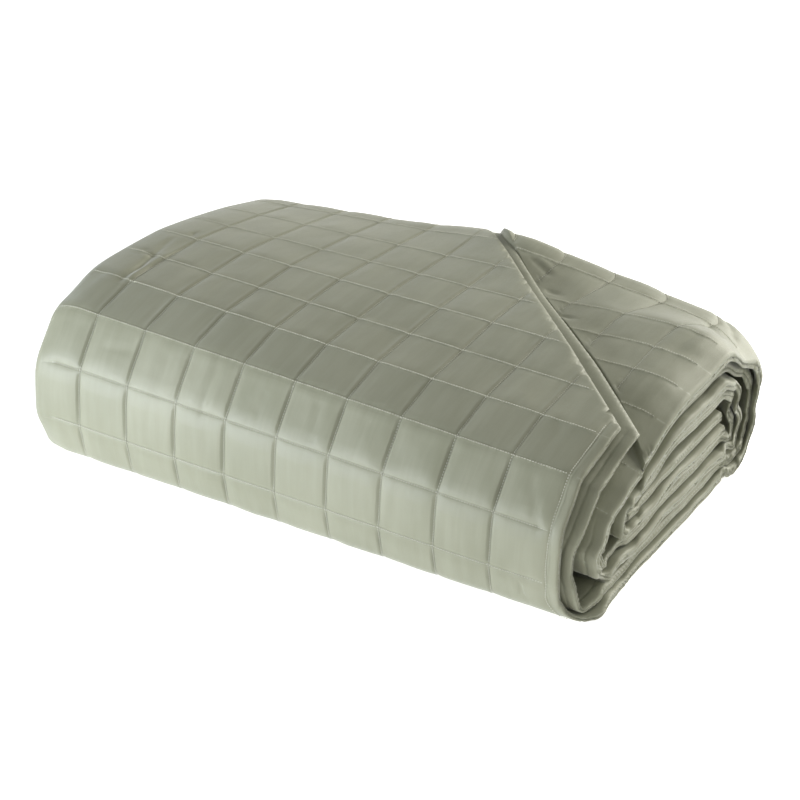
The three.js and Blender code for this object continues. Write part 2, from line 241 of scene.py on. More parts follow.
@dataclass(frozen=True)
class Pile:
    """How the wound cloth lies: one section along X, with its crown, swelling and ends, in millimetres."""

    square: float = 57
    step: float = 55
    origin_x: float = 304.1
    origin_y: float = 199.3
    height: float = 131
    crown_x: float = 342
    crown_front: float = 2.63e-4
    crown_back: float = 5.67e-9
    swell_mid: float = 19
    swell_back: float = 47
    swell_out: float = 17
    swell_ramp: float = 3.2
    swell_back_ramp: float = 5
    swell_from: float = -2.5
    swell_back_from: float = -8
    swell_extra: float = -3
    swell_extra_reach: float = 60
    swell_inner: float = 0.9
    flap_lift: float = 4.5
    flap_lift_reach: float = 110
    pinch: float = 0.35
    pinch_at_back: float = 0.8
    pinch_reach: float = 70
    pinch_zone: Zone = Zone(270, 90)
    fade_from: float = 342
    fade_over: float = 205
    end: Zone = Zone(547, 57)
    end_power: float = 1.6
    end_inward: float = 40
    end_high_inward: float = 25
    end_drop: float = 7
    end_back_drop: float = 1
    end_flap_drop: float = 2
    foot_inward: float = 1
    foot_height: float = 91
    left_run: float = 34
    left_drop: float = 0.015
    left_front_drop: float = 0.055
    left_inward: float = 8
    left_bulge: float = 2
    left_back_inward: float = 6
    pressed_share: float = 0.28
    pressed_run: float = 42
    wound_shift: float = 33
    diagonal: Diagonal = Diagonal()
    front: Zone = Zone(0, 86)
    top: Zone = Zone(52, 110)
    back: Zone = Zone(285, 70)
    bulge: Zone = Zone(285, 86)
    rise: Zone = Zone(0, 90)
    end_dropping: Zone = Zone(256, 68)
    end_drawing: Zone = Zone(256, 114)
    end_high: Zone = Zone(57, 57)
    left_dropping: Zone = Zone(35, 75)
    left_bulging: Zone = Zone(0, 60)
    foot: Zone = Zone(470, 125)
    shifting: Zone = Zone(0, 180)
    warp_zone: Zone = Zone(525, 78)
    warp: float = 5.0
    warp_scale: float = 30.0
    fine_warp: float = 1.5
    fine_warp_scale: float = 13.0
    warp_noise: SmoothNoise = field(default_factory=lambda: SmoothNoise(11))

    @property
    def wound_from(self) -> float:
        """The length from which the turns under the flap count as wound."""
        return PATH.marks["backFoot"] - 2 * self.step

    def shift(self, v: Array | float) -> Array:
        """How far the cloth lies to the right at length v."""
        return self.wound_shift * within(v - PATH.marks["frontFoot"], self.shifting)

    def diagonal_at(self, v: Array | float, lower: bool = False) -> Array:
        """X of the flap's diagonal edge at length v, or of its lower ply's edge."""
        rows = (PATH.marks["frontCrest"] - v) / self.step - self.diagonal.row
        return self.diagonal.at_row(rows, self.square, lower)

    def _swollen(self, x: Array, y: Array, z: Array, v: Array) -> tuple[Array, Array]:
        """Y and Z of the turns under the flap, which swell up and out past its diagonal edge."""
        out = self.swell_out * within(y, self.bulge)
        at_back = within(y, self.back)
        start = self.edge_over(y) + blend(self.swell_from, self.swell_back_from, at_back)
        past = (x - start) * math.sqrt(0.5)
        ramp = blend(self.swell_ramp, self.swell_back_ramp, at_back)
        risen = within(v - PATH.marks["backFoot"], self.rise) * (v < PATH.marks["secondFoot"])
        freed = smooth(past / ramp) * within(y, self.top) * blend(self.swell_inner, 1, risen)
        fade = 1 - (x - self.fade_from) / self.fade_over
        extra = self.swell_extra * risen * (1 - smooth(past / self.swell_extra_reach))
        lift = blend(self.swell_mid + extra, self.swell_back * fade, at_back)
        return y + freed * out, z + freed * lift * z / self.height

    def _at_right_end(self, x: Array, y: Array, z: Array, wound: Array) -> tuple[Array, Array]:
        """Y and Z where the turns sink and draw in towards the right-hand end."""
        end = np.clip((x - self.end.start) / self.end.run, 0, None) ** self.end_power
        wound_drop = self.end_drop + self.end_back_drop * within(y, self.end_dropping)
        low = z - end * np.where(wound, wound_drop, self.end_flap_drop) * z / self.height
        inward = blend(self.end_inward, self.end_high_inward, within(low, self.end_high))
        return y - end * inward * within(y, self.end_drawing), low

    def _at_left_and_foot(self, x: Array, y: Array, z: Array) -> tuple[Array, Array]:
        """Y and Z where the left-hand end is rounded off and the front foot steps back."""
        front = 1 - within(y, self.front)
        left = np.clip(1 - x / self.left_run, 0, 1) ** 2
        forward = left * front * blend(self.left_inward, -self.left_bulge, within(z, self.left_bulging))
        rounded = y + forward - left * self.left_back_inward * within(y + forward, self.bulge)
        drop = self.left_drop + self.left_front_drop * (1 - within(rounded, self.left_dropping))
        low = z * (1 - left * drop)
        foot = within(x, self.foot) * front * np.clip(1 - low / self.foot_height, 0, None)
        return rounded + foot * self.foot_inward, low + foot

    def _crumpled(self, x: Array, y: Array, z: Array, v: Array) -> tuple[Array, Array]:
        """Y and Z of the wound turns near the right-hand end, where they are crumpled."""
        share = within(x, self.warp_zone) * (v > PATH.marks["frontFoot"]) * smooth(z / 26)
        share = share * smooth((y + 6) / 40) * smooth((398 - y) / 45)
        middle = within(y, Zone(70, 60)) * (1 - within(y, Zone(250, 60)))
        on_top = within(v, Zone(1050, 60)) * (1 - within(v, Zone(1400, 60)))
        share = share * (1 - 0.7 * middle) * (1 - 0.75 * on_top)
        a, b = y / self.warp_scale, z / self.warp_scale
        c, d = y / self.fine_warp_scale, z / self.fine_warp_scale
        across = self.warp * self.warp_noise.at(a + 3, b * 1.3 + 7)
        upward = self.warp * self.warp_noise.at(a * 1.2 + 31, b + 17)
        across = across + self.fine_warp * self.warp_noise.at(c + 53, d + 2)
        upward = upward + self.fine_warp * self.warp_noise.at(c + 11, d + 64)
        return y + share * across, z + share * upward

    def _pinched(self, x: Array, v: Array, y: Array) -> Array:
        """How far the flap's plies are pressed together near its diagonal edge."""
        near = smooth((x - self.diagonal_at(v, True) + self.pinch_reach) / self.pinch_reach)
        near = near * smooth((PATH.marks["frontCrest"] - v) / self.pinch_reach)
        most = blend(self.pinch, self.pinch_at_back, within(y, self.pinch_zone))
        return most * near * (v < PATH.marks["frontCrest"])

    def place(self, x: Array, v: Array, depth: Array) -> Array:
        """Puts points of the flat cloth where they lie in the bundle.

        Args:
            x: places across the bundle, from its left-hand fold.
            v: lengths along the cloth.
            depth: depths below the outer face.

        Returns:
            One row of X, Y and Z in millimetres for each point, from the middle of the bundle's footprint.
        """
        face_y, face_z, out_y, out_z = PATH.at(v)
        squeeze = 1 - smooth(np.abs(v - PATH.marks["frontFoot"]) / self.pressed_run)
        pressed = (1 - self.pressed_share * squeeze) * (1 - self._pinched(x, v, face_y))
        wound = v > self.wound_from
        y = face_y - out_y * depth * pressed
        z = face_z - out_z * depth * pressed
        z = z * (1 + (self.crown_front - self.crown_back * y * y) * (self.crown_x - x))
        swollen_y, swollen_z = self._swollen(x, y, z, v)
        near_edge = smooth(1 + (x - self.diagonal_at(v, True)) / self.flap_lift_reach)
        near_back = within(face_y, self.pinch_zone) * (v < PATH.marks["topMiddle"])
        lifted_z = z + self.flap_lift * near_edge * near_back
        y, z = np.where(wound, swollen_y, y), np.where(wound, swollen_z, lifted_z)
        y, z = self._at_right_end(x, y, z, wound)
        y, z = self._at_left_and_foot(x, y, z)
        y, z = self._crumpled(x, y, z, v)
        return np.stack([x - self.origin_x, y - self.origin_y, np.maximum(z, 0)], axis=-1)

    def edge_over(self, y: Array | float) -> Array:
        """X of the flap's lower diagonal edge above places Y of the turn beneath, before that turn swells."""
        crest_y = next(b.y for b in FOLDS if b.name == "frontCrest")
        rows = (y + self.swell_out * within(y, self.bulge) - crest_y) / self.step - self.diagonal.row
        return self.diagonal.at_row(rows, self.square, True)


class Column(NamedTuple):
    """One point across a ply: its place w from the fold, half the thickness there, and its inset."""

    w: float
    half: float
    inset: float


@dataclass(frozen=True)
class Crease:
    """A soft trough along a line on the cloth, or a ridge where its depth is negative, in millimetres."""

    start: tuple[float, float]
    end: tuple[float, float]
    width: float
    depth: float

    def at(self, x: Array, v: Array) -> Array:
        """The trough's depth at places x and v, fading out at the line's two ends."""
        along_x, along_v = self.end[0] - self.start[0], self.end[1] - self.start[1]
        length = math.hypot(along_x, along_v)
        share = ((x - self.start[0]) * along_x + (v - self.start[1]) * along_v) / length**2
        nearest = np.clip(share, 0, 1)
        off = np.hypot(x - self.start[0] - nearest * along_x, v - self.start[1] - nearest * along_v)
        taper = smooth((0.5 - np.abs(nearest - 0.5)) / 0.22 + 0.25)
        return self.depth * taper * np.exp(-((off / self.width) ** 2))

    def columns_at(self, v: float) -> list[float]:
        """X of the columns that follow the line at length v, none where it runs more across than along."""
        low, high = sorted((self.start[1], self.end[1]))
        if high - low < abs(self.end[0] - self.start[0]) or not low - self.width <= v <= high + self.width:
            return []
        share = min(1.0, max(0.0, (v - self.start[1]) / (self.end[1] - self.start[1])))
        x = self.start[0] + share * (self.end[0] - self.start[0])
        return [x + self.width * step for step in (-1.6, -0.8, 0, 0.8, 1.6)]

    def rows(self) -> list[float]:
        """Lengths of the rows that follow the line, where it runs more across than along."""
        low, high = sorted((self.start[1], self.end[1]))
        if high - low >= abs(self.end[0] - self.start[0]):
            return []
        return list(np.arange(low - 1.6 * self.width, high + 1.6 * self.width, 0.8 * self.width))


CREASES = (
    Crease((47, 410), (47, 372), 3.2, 1.5),
    Crease((47, 380), (42, 342), 3.0, 2.0),
    Crease((43, 346), (34, 304), 3.0, 1.2),
    Crease((53, 405), (52, 330), 3.0, -1.3),
    Crease((26, 340), (44, 350), 2.6, 0.6),
    Crease((24, 346), (42, 357), 3.4, -0.5),
    Crease((47, 290), (43, 278), 2.6, 1.3),
    Crease((18, 430), (24, 396), 6.0, 0.8),
    Crease((74, 486), (112, 478), 5.0, 0.6),
    Crease((150, 470), (147, 515), 5.0, 0.6),
    Crease((205, 462), (200, 520), 4.5, 0.9),
    Crease((212, 466), (209, 512), 4.5, -0.5),
    Crease((262, 474), (258, 500), 4.0, 0.6),
    Crease((318, 466), (322, 508), 5.0, 0.5),
    Crease((545, 575), (546, 592), 2.4, 1.4),
    Crease((538, 470), (560, 520), 5.0, 0.6),
    Crease((527, 400), (548, 430), 5.0, 0.7),
    Crease((482, 380), (500, 402), 5.0, -0.5),
    Crease((330, 1132), (360, 1143), 2.6, 0.9),
    Crease((328, 1126), (358, 1136), 3.2, -0.5),
    Crease((366, 1163), (384, 1166), 2.8, 1.2),
    Crease((402, 1203), (420, 1206), 3.0, 1.2),
    Crease((500, 1120), (530, 1136), 5.0, 0.6),
    Crease((524, 1094), (556, 1124), 4.0, 1.7),
    Crease((520, 1128), (552, 1146), 4.5, 1.2),
    Crease((512, 1082), (530, 1104), 4.0, 1.0),
    Crease((538, 1170), (530, 1230), 6.0, 0.7),
)


def creased(x: Array, v: Array) -> Array:
    """The depth of all the creases together."""
    return sum(crease.at(x, v) for crease in CREASES)


@dataclass
class QuiltCloth:
    """The whole cover as one closed sheet, quilted in squares and wound through the bundle."""

    pile: Pile = field(default_factory=Pile)
    seams: int = 9
    ply: float = 9.6
    ply_step: float = 12.0
    hem_width: float = 11.0
    hem_half: float = 3.3
    hem_wound_half: float = 4.7
    hem_round: float = 2.6
    hem_groove: float = 0.9
    hem_blunt: float = 0.25
    hem_notch: float = 1.3
    hem_front: tuple[float, float] = (581.0, 595.0)
    hem_wound: tuple[float, float] = (605.0, 601.0)
    hem_zone: Zone = Zone(-25, 50)
    hem_noise: SmoothNoise = field(default_factory=lambda: SmoothNoise(5))
    puff_noise: SmoothNoise = field(default_factory=lambda: SmoothNoise(23))
    second_rows: tuple[float, ...] = (916, 968, 1018, 1068, 1126, 1177, 1223, 1266, 1314, 1368, 1425, 1480)
    skew: float = 14.0
    skew_zone: Zone = Zone(1110, 90)
    curl: float = 4.0
    curl_reach: float = 32.0
    fine_steps: tuple[float, ...] = (0.0, 0.7, 1.4, 2.3, 4.2, 8.0, 13.5, 20.5)
    row_steps: tuple[float, ...] = (0.0, 0.8, 1.7, 4.2, 9.0, 16.0)
    even_step: float = 5.0
    coarse_steps: tuple[float, ...] = (0.0, 3.0, 9.0)
    wall_steps: tuple[float, ...] = (-14, -10, -6, -2.5, 0.2, 1.4, 2.6, 3.8, 5.2, 7.5, 11)
    wall_reach: float = 6.0
    wall_fade: float = 18.0
    plain_columns: tuple[float, ...] = (0.6, 3.5, 5.5, 6.5, 7.5, 8.5, 9.2)
    edge_insets: tuple[float, ...] = (58, 44, 33, 24, 17.5, 13.6, 12, 11, 10, 8.4, 6.2, 4.4)
    turned_insets: tuple[float, ...] = (24, 16, 11, 7.5, 5)
    flat_size: tuple[float, float] = (1.16, 2.40)

    def __post_init__(self) -> None:
        """Works out the lengths that the rows are laid out by."""
        marks = PATH.marks
        self.crest = marks["frontCrest"]
        self.foot = marks["frontFoot"]
        self.bottom_from = self.foot + 50
        self.wound_from = self.pile.wound_from
        self.back_top = marks["backUpper"] + 30
        self.second_end = marks["secondFoot"]
        self.radius = self.ply_step / 2
        self.turn = self.radius * math.pi / 2
        self.left = self.ply / 2
        step = self.pile.step
        outer = [self.crest % step + n * step for n in range(int(self.wound_from // step) + 1)]
        self.rows_of_stitches = [v for v in outer if v < self.wound_from]
        self.rows_of_stitches += list(self.second_rows)

    def width_at(self, x: float) -> float:
        """The place w on the cloth at X before the turns are shifted."""
        return x - self.left - self.radius + self.turn

    def edge_at(self, v: float, ply: Ply) -> tuple[float, bool]:
        """Where a ply ends.

        Args:
            v: the length along the cloth.
            ply: which ply.

        Returns:
            X before the turns are shifted, and whether the end is the flap's diagonal edge.
        """
        lower = ply is Ply.INNER
        wound = float(within(v - self.foot, self.hem_zone))
        uneven = 3.0 * float(self.hem_noise.at(v / 41 + 9 * lower, 3 + 20 * lower))
        ruffled = float(self.crumpled_at(v)) ** 2
        uneven += 1.8 * ruffled * float(self.hem_noise.at(v / 13 + 5, 40 + 11 * lower))
        uneven += 0.7 * ruffled * float(self.hem_noise.at(v / 5, 75 + 7 * lower))
        hem = float(blend(self.hem_front[lower], self.hem_wound[lower], wound))
        hem += 6 * math.exp(-(((v - self.foot - 32) / 30) ** 2))
        hem += 2 * math.exp(-(((v - self.foot - 325) / 30) ** 2))
        hem -= lower * 8 * math.exp(-(((v - self.foot + 60) / 30) ** 2))
        on_top = self.on_top(v)
        hem -= lower * 4 * on_top
        on_floor = float(within(v, Zone(self.foot + 20, 40)) * (1 - within(v, Zone(self.wound_from, 60))))
        calm = (1 - 0.6 * on_top) * (1 - 0.75 * on_floor) * float(self.crumpled_at(v))
        hem += uneven * (0.25 + 0.75 * wound) * calm - float(self.pile.shift(v))
        diagonal = float(self.pile.diagonal_at(v, lower))
        return (diagonal, True) if diagonal < hem else (hem, False)

    def dip(self, x: Array, v: Array) -> Array:
        """How deep the quilted face lies below the top of its puffs.

        Args:
            x: places across the cloth.
            v: lengths along it.

        Returns:
            The depth at each place.
        """
        aside, along = self.seam_offsets(x, v)
        across = np.abs(aside)
        on_front, on_second = self.on_front(v), within(v, Zone(self.wound_from, 40))
        crossing = np.exp(-((along / blend(5, 7, on_front)) ** 2)) * blend(0.55, 0.92, on_front)
        channel = blend(blend(1.0, 1.9, on_front), 0.75 - 0.45 * self.on_back_crest(v), on_second)
        flat_floor = blend(0.25, 0.9, on_front)
        channel = channel * (1 - smooth((across - flat_floor) / 1.3)) * (1 - crossing)
        line = blend(-0.25, 0.4, on_front) * (1 - smooth(along / 1.3))
        uneven = self.puff_noise.at(x / 71 + 4, v / 63)
        fall_along = np.exp(-along / 8.0) * blend(0.3, 0.5, on_front)
        crown = (1.4 + 0.4 * uneven) * np.maximum(np.exp(-across / 8.0), fall_along)
        crown = crown + 1.1 * on_front * (1 - np.clip(along / 27, 0, 1)) ** 2
        ridge = 0.6 * np.exp(-(((aside + 2.4) / 1.3) ** 2)) * (1 - on_front)
        ridge = ridge * (1 - on_second) * (1 - crossing)
        wobble = 0.55 * self.puff_noise.at(x / 37 + 19, v / 41 + 5)
        wobble = wobble + 0.3 * self.puff_noise.at(x / 15, v / 19 + 40)
        wobble = wobble * smooth(np.minimum(across, along) / 8)
        total = channel + line + crown - ridge + wobble + creased(x, v)
        return np.minimum(total, self.ply / 2 - 0.5)

    def on_front(self, v: Array | float) -> Array:
        """How far length v is on the front, from 0 on the top and at the foot."""
        return within(v, Zone(self.crest, 20)) * (1 - within(v, Zone(self.foot - 36, 30)))

    def on_back_crest(self, v: Array | float) -> Array:
        """How far length v is on the crest of the turn beneath the flap."""
        return 1 - smooth((np.abs(v - self.back_top - 12) - 18) / 20)

    def skew_at(self, v: Array | float) -> Array:
        """How far the seams along the cloth stray to the right at length v, at the crest beneath the flap."""
        return self.skew * within(v, Zone(self.back_top, 30)) * (1 - within(v, self.skew_zone))

    def seam_offsets(self, x: Array, v: Array) -> tuple[Array, Array]:
        """How far places lie from the seams.

        Args:
            x: places across the cloth.
            v: lengths along it.

        Returns:
            The offset to the right of the nearest seam along the cloth, and the distance to the nearest
            one across it.
        """
        square = self.pile.square
        skewed = x - self.skew_at(v)
        sewn = (skewed > square / 2) & (skewed < (self.seams + 0.5) * square)
        aside = np.where(sewn, skewed - square * np.round(skewed / square), square)
        rows = np.array(self.rows_of_stitches)
        nearest = np.clip(np.searchsorted(rows, v), 1, len(rows) - 1)
        along = np.minimum(np.abs(v - rows[nearest - 1]), np.abs(v - rows[nearest]))
        return aside, along

    def swing(self, x: Array, v: Array, inset: Array, lower: bool) -> Array:
        """How far a ply's middle is pushed along its normal near its hem, as an uneven ruffle."""
        wound = within(v - self.foot, self.hem_zone)
        near = smooth(1 - inset / 48)
        shared = self.puff_noise.at(v / 24 + 60, inset / 90 + 50)
        own = self.hem_noise.at(v / 13 + 33 * lower, inset / 50 + 71 + 9 * lower)
        tiny = self.hem_noise.at(v / 5.5 + 47 * lower, inset / 14 + 30)
        on_top = self.on_top(v)
        crumpled = self.crumpled_at(v)
        ruffle = 2.2 * shared + (1.2 * own + 0.5 * tiny * near) * crumpled
        ruffle = ruffle * near * wound * (1 - 0.65 * on_top) * crumpled
        return ruffle + (self.curl + 3 * lower) * on_top * smooth(1 - inset / self.curl_reach) ** 1.5

    def crumpled_at(self, v: Array | float) -> Array:
        """How crumpled the wound cloth is at length v, least on the long runs of each turn."""
        y = PATH.at(np.atleast_1d(np.asarray(v, float)))[0]
        middle = within(y, Zone(70, 50)) * (1 - within(y, Zone(250, 60)))
        return (1 - 0.65 * middle).reshape(np.shape(v))

    def on_top(self, v: Array | float) -> Array | float:
        """How far length v is on the top of the turn beneath the flap."""
        share = within(v, Zone(1050, 50)) * (1 - within(v, Zone(1420, 60)))
        return share if isinstance(v, np.ndarray) else float(share)

    def _spread(self, seams: Sequence[float], steps: Sequence[float], half_way: float) -> list[float]:
        """Places round each seam at the given distances, and half-way to the next one."""
        places = [s + sign * d for s in seams for d in steps for sign in (-1, 1)]
        return places + [s + half_way for s in seams] + [seams[0] - half_way]

    def _thinned(self, kept: Sequence[float], others: Sequence[float], gap: float) -> list[float]:
        """Adds to the kept places each other one that has no neighbour nearer than the gap."""
        places = sorted(set(round(p, 4) for p in kept))
        for p in sorted(others):
            i = bisect.bisect(places, p)
            near = [abs(places[j] - p) for j in (i - 1, i) if 0 <= j < len(places)]
            if not near or min(near) > gap:
                places.insert(i, p)
        return places

    def rows(self, fine: bool) -> list[float]:
        """Lengths of the rows of points.

        Args:
            fine: whether the rows are those of the quilted outer face.

        Returns:
            The lengths in rising order.
        """
        half_way = self.pile.step / 2
        stitched = [v for v in self.rows_of_stitches if v > self.wound_from]
        upper = [v for v in self.rows_of_stitches if v < self.wound_from]
        ends = [0, 1.2, 4.4, 8.4, 10, 11, 12, 13.6, 17.5, 24]
        kept = ends + [PATH.length - e for e in ends]
        kept += [self.corner_row(Ply.OUTER), self.corner_row(Ply.INNER)]
        others: list[float] = []
        if fine:
            kept += stitched + upper
            others += self._spread(stitched, self.row_steps, half_way)
            others += [v for crease in CREASES for v in crease.rows()]
            others += self._spread([v for v in upper if v < self.bottom_from], self.row_steps, half_way)
            others += self._spread([v for v in upper if v > self.bottom_from], self.coarse_steps, half_way)
        for start, arc, turn in PATH.arcs:
            parts = max(2, math.ceil(turn / 0.17))
            others += [start + arc * p / parts for p in range(parts + 1)]
        rows = self._thinned(kept, others, 0.7)
        even = list(np.arange(self.foot - 40 if fine else 0.0, PATH.length, self.even_step))
        return [v for v in self._thinned(rows, even, 0.45 * self.even_step) if 0 <= v <= PATH.length]

    def corner_row(self, ply: Ply) -> float:
        """The length at which a ply's diagonal edge meets its hem."""
        low, high = self.crest - 6 * self.pile.step, self.crest + 2 * self.pile.step
        for _ in range(40):
            middle = (low + high) / 2
            if self.edge_at(middle, ply)[1]:
                low = middle
            else:
                high = middle
        return (low + high) / 2

    def _places(self, v: float, quilted: bool) -> list[float]:
        """X of the columns between the left-hand fold and the edge zone at length v."""
        square = self.pile.square
        all_seams = [i * square for i in range(1, self.seams + 1)]
        coarse = [p * square for p in self.plain_columns]
        if v > self.second_end + 40:
            return coarse
        first = 5 * square
        if v < self.wound_from:
            if not quilted:
                return coarse
            steps = self.fine_steps if v < self.bottom_from else self.coarse_steps
            return self._spread(all_seams, steps, square / 2)
        if not quilted:
            return coarse
        if v < self.back_top:
            return self._spread(all_seams, self.fine_steps, square / 2)
        skew = float(self.skew_at(v))
        shown = self._spread([s + skew for s in all_seams if s >= first], self.fine_steps, square / 2)
        return [p for p in coarse if p < first - 0.6 * square] + shown

    def wall_at(self, v: float) -> float | None:
        """X of the flap's diagonal edge over the turn beneath, or None where it doesn't pass under it."""
        if not PATH.marks["backFoot"] - 10 < v < self.second_end - 60:
            return None
        y = float(PATH.at(np.array([v]))[0][0])
        return float(self.pile.edge_over(y)) - self.pile.wound_shift

    def _slid(self, row: list[tuple[float, int]], wall: float, last: float) -> list[tuple[float, int]]:
        """A row's places, moved near the wall by its step from the last row, so that a strip follows it."""
        fade = (self.wall_reach, self.wall_fade)
        return [(w + (last - wall) * float(1 - within(abs(w - wall), Zone(*fade))), i) for w, i in row]

    def _hem_half(self, inset: float, full: float, v: float) -> float:
        """Half the thickness near a hem: a puff's slope, the hem's seam, its body and its round edge."""
        body = float(blend(self.hem_half, self.hem_wound_half, within(v - self.foot, self.hem_zone)))
        groove = self.hem_groove * (1 - smooth(abs(inset - self.hem_width) / 1.8)) * (1 - self.on_top(v))
        if inset >= self.hem_width:
            return float(blend(body, full, smooth((inset - self.hem_width) / 16)) - groove)
        edge = math.sqrt(max(0.0, 1 - (1 - min(inset, self.hem_round) / self.hem_round) ** 2))
        return float(body - groove) * blend(self.hem_blunt, 1, edge)

    def _turned_half(self, inset: float, full: float) -> float:
        """Half the thickness near the turned-under diagonal edge, which is round."""
        reach = 8.0
        return full * math.sqrt(max(0.0, 1 - (1 - min(inset, reach) / reach) ** 2))

    def columns(self, v: float, ply: Ply, side: Side) -> list[Column]:
        """The points across one face of one ply.

        Args:
            v: the length along the cloth.
            ply: which ply.
            side: which side of it.

        Returns:
            The columns from the left-hand fold to the edge.
        """
        edge, turned = self.edge_at(v, ply)
        full = self.ply / 2
        end_inset = min(v, PATH.length - v)
        if end_inset < 24:
            full = max(self._hem_half(end_inset, full, v), 0.0)
        quilted = ply is Ply.OUTER and side is Side.FACE
        rim = [edge - self.hem_round * (1 - math.cos(a)) for a in (0.0, 0.5, 0.95, 1.3)]
        insets = list(self.turned_insets if turned else self.edge_insets)
        if turned:
            rim = [edge - e for e in (0.0, 0.5, 1.6, 3.0)]
            if v < 60:
                insets = insets[2:]
        near = [edge - e for e in insets] + rim
        inner = [x for x in self._places(v, quilted) if x > self.left + self.radius + 1]
        if quilted:
            near += [x for c in CREASES for x in c.columns_at(v) if x < edge - 14]
            wall = self.wall_at(v)
            near += [] if wall is None else [wall + s for s in self.wall_steps if wall + s < edge - 14]
        places = self._thinned(near, [x for x in inner if x < edge - 14], 1.0)
        columns = [Column(w, full, edge) for w in self._fold_places(ply)]
        dips = self.dip(np.array(places), np.full(len(places), v)) if quilted else np.zeros(len(places))
        for x, dip in zip(places, dips):
            if x < self.left + self.radius + 1:
                continue
            inset = edge - x
            body = full - dip * min(1.0, end_inset / 12)
            if turned:
                half = self._turned_half(inset, float(blend(full, body, smooth(inset / 12))))
            else:
                taper = smooth((inset - self.hem_width) / 14)
                half = blend(self._hem_half(inset, full, v), body, taper)
            columns.append(Column(self.width_at(x), max(float(half), 0.0), inset))
        if not turned:
            columns.append(Column(self.width_at(edge - self.hem_notch), 0.0, self.hem_notch))
        return columns

    def _fold_places(self, ply: Ply) -> list[float]:
        """Places round the left-hand fold, the middle one on the outer ply only."""
        shares = (0.25, 0.5, 0.75, 1.0)
        places = [self.turn * s for s in shares]
        return [0.0, *places] if ply is Ply.OUTER else places

    def face_points(self, w: Array, v: Array, side: int, half: Array, inset: Array) -> Array:
        """Places points of one face, with the ruffle near the hems.

        Args:
            w: places across the cloth from the left-hand fold, below 0 on the inner ply.
            v: lengths along it.
            side: 1 on a face, -1 on a back.
            half: half the cloth's thickness at each point.
            inset: each point's distance from its ply's edge.

        Returns:
            One row of X, Y and Z in millimetres for each point.
        """
        bent = np.abs(w) < self.turn
        angle = w / self.radius
        upper = w > 0
        round_x = self.left + self.radius * (1 - np.cos(angle))
        x = np.where(bent, round_x, self.left + self.radius + np.abs(w) - self.turn)
        straight_depth = self.ply / 2 + np.where(upper, 0.0, self.ply_step)
        depth = np.where(bent, self.ply / 2 + self.radius * (1 - np.sin(angle)), straight_depth)
        nx = np.where(bent, -np.cos(angle), 0.0)
        nd = np.where(bent, -np.sin(angle), np.where(upper, -1.0, 1.0))
        ruffle = np.where(upper, self.swing(x, v, inset, False), self.swing(x, v, inset, True))
        return self.pile.place(
            x + side * half * nx + self.pile.shift(v), v, depth + side * half * nd + ruffle
        )

    def _face(self, rows: Sequence[float], ply: Ply, side: Side, sheet: "SheetMesh") -> "FaceGrid":
        """One face of one ply, as rows of points joined by strips."""
        grid: list[list[tuple[float, int]]] = []
        flat: list[tuple[float, float, float, float]] = []
        for v in rows:
            found = self.columns(v, ply, side)
            if ply is Ply.INNER:
                found = [Column(-c.w, c.half, c.inset) for c in reversed(found)]
            base = sheet.count + len(flat)
            grid.append([(c.w, base + i) for i, c in enumerate(found)])
            flat += [(c.w, v, c.half, c.inset) for c in found]
        w, v, half, inset = np.array(flat).T
        near = np.zeros((2, len(w)))
        quilted = ply is Ply.OUTER and side is Side.FACE
        if quilted:
            aside, along = self.seam_offsets(np.abs(w) + self.left + self.radius - self.turn, v)
            on_front = self.on_front(v)
            # walls_near marks where shade is painted at the walls of the seam channels: two lines on the
            # front, one on the top.
            walls_near = np.exp(-np.abs(np.abs(aside) - 1.3 * on_front) / blend(1.5, 0.9, on_front))
            walls_near = walls_near * (1 - 0.7 * self.on_back_crest(v))
            # The second nearness marks where a painted highlight is laid along the rows of stitches, weaker
            # on the front.
            near = np.stack([walls_near, np.exp(-along / 0.8) * (1 - 0.85 * on_front)])
        sheet.add(self.face_points(w, v, side.value, half, inset), w, v, near)
        walls = [self.wall_at(v) if quilted else None for v in rows]
        for a, b, last, wall in zip(grid, grid[1:], walls, walls[1:]):
            if last is not None and wall is not None:
                b = self._slid(b, self.width_at(wall), self.width_at(last))
            sheet.strip(a, b, turned=side is Side.BACK, mirrored=ply is Ply.INNER)
        return FaceGrid(list(rows), grid)

    def build(self) -> bpy.types.Object:
        """Makes the cover's mesh.

        Returns:
            The cover as a new object at the origin.
        """
        sheet = SheetMesh()
        fine, plain = self.rows(True), self.rows(False)
        outer_face = self._face(fine, Ply.OUTER, Side.FACE, sheet)
        outer_back = self._face(plain, Ply.OUTER, Side.BACK, sheet)
        inner_face = self._face(plain, Ply.INNER, Side.FACE, sheet)
        inner_back = self._face(plain, Ply.INNER, Side.BACK, sheet)
        sheet.strip(outer_face.low, inner_face.high)
        sheet.strip(inner_back.high, outer_back.low)
        sheet.strip(outer_back.high, outer_face.high)
        sheet.strip(inner_face.low, inner_back.low)
        first, last = (lambda g: g.grid[0]), (lambda g: g.grid[-1])
        sheet.strip(first(inner_back) + first(outer_back), first(inner_face) + first(outer_face))
        sheet.strip(last(inner_face) + last(outer_face), last(inner_back) + last(outer_back))
        LOG.info("cover: %d rows on the face, %d triangles", len(fine), len(sheet.triangles))
        return sheet.to_object("quilt_cover")


@dataclass
class FaceGrid:
    """The rows of one face, with the chains of points along its two long edges."""

    rows: list[float]
    grid: list[list[tuple[float, int]]]

    @property
    def low(self) -> list[tuple[float, int]]:
        """The chain along the edge with the lowest places."""
        return [(v, row[0][1]) for v, row in zip(self.rows, self.grid)]

    @property
    def high(self) -> list[tuple[float, int]]:
        """The chain along the edge with the highest places."""
        return [(v, row[-1][1]) for v, row in zip(self.rows, self.grid)]


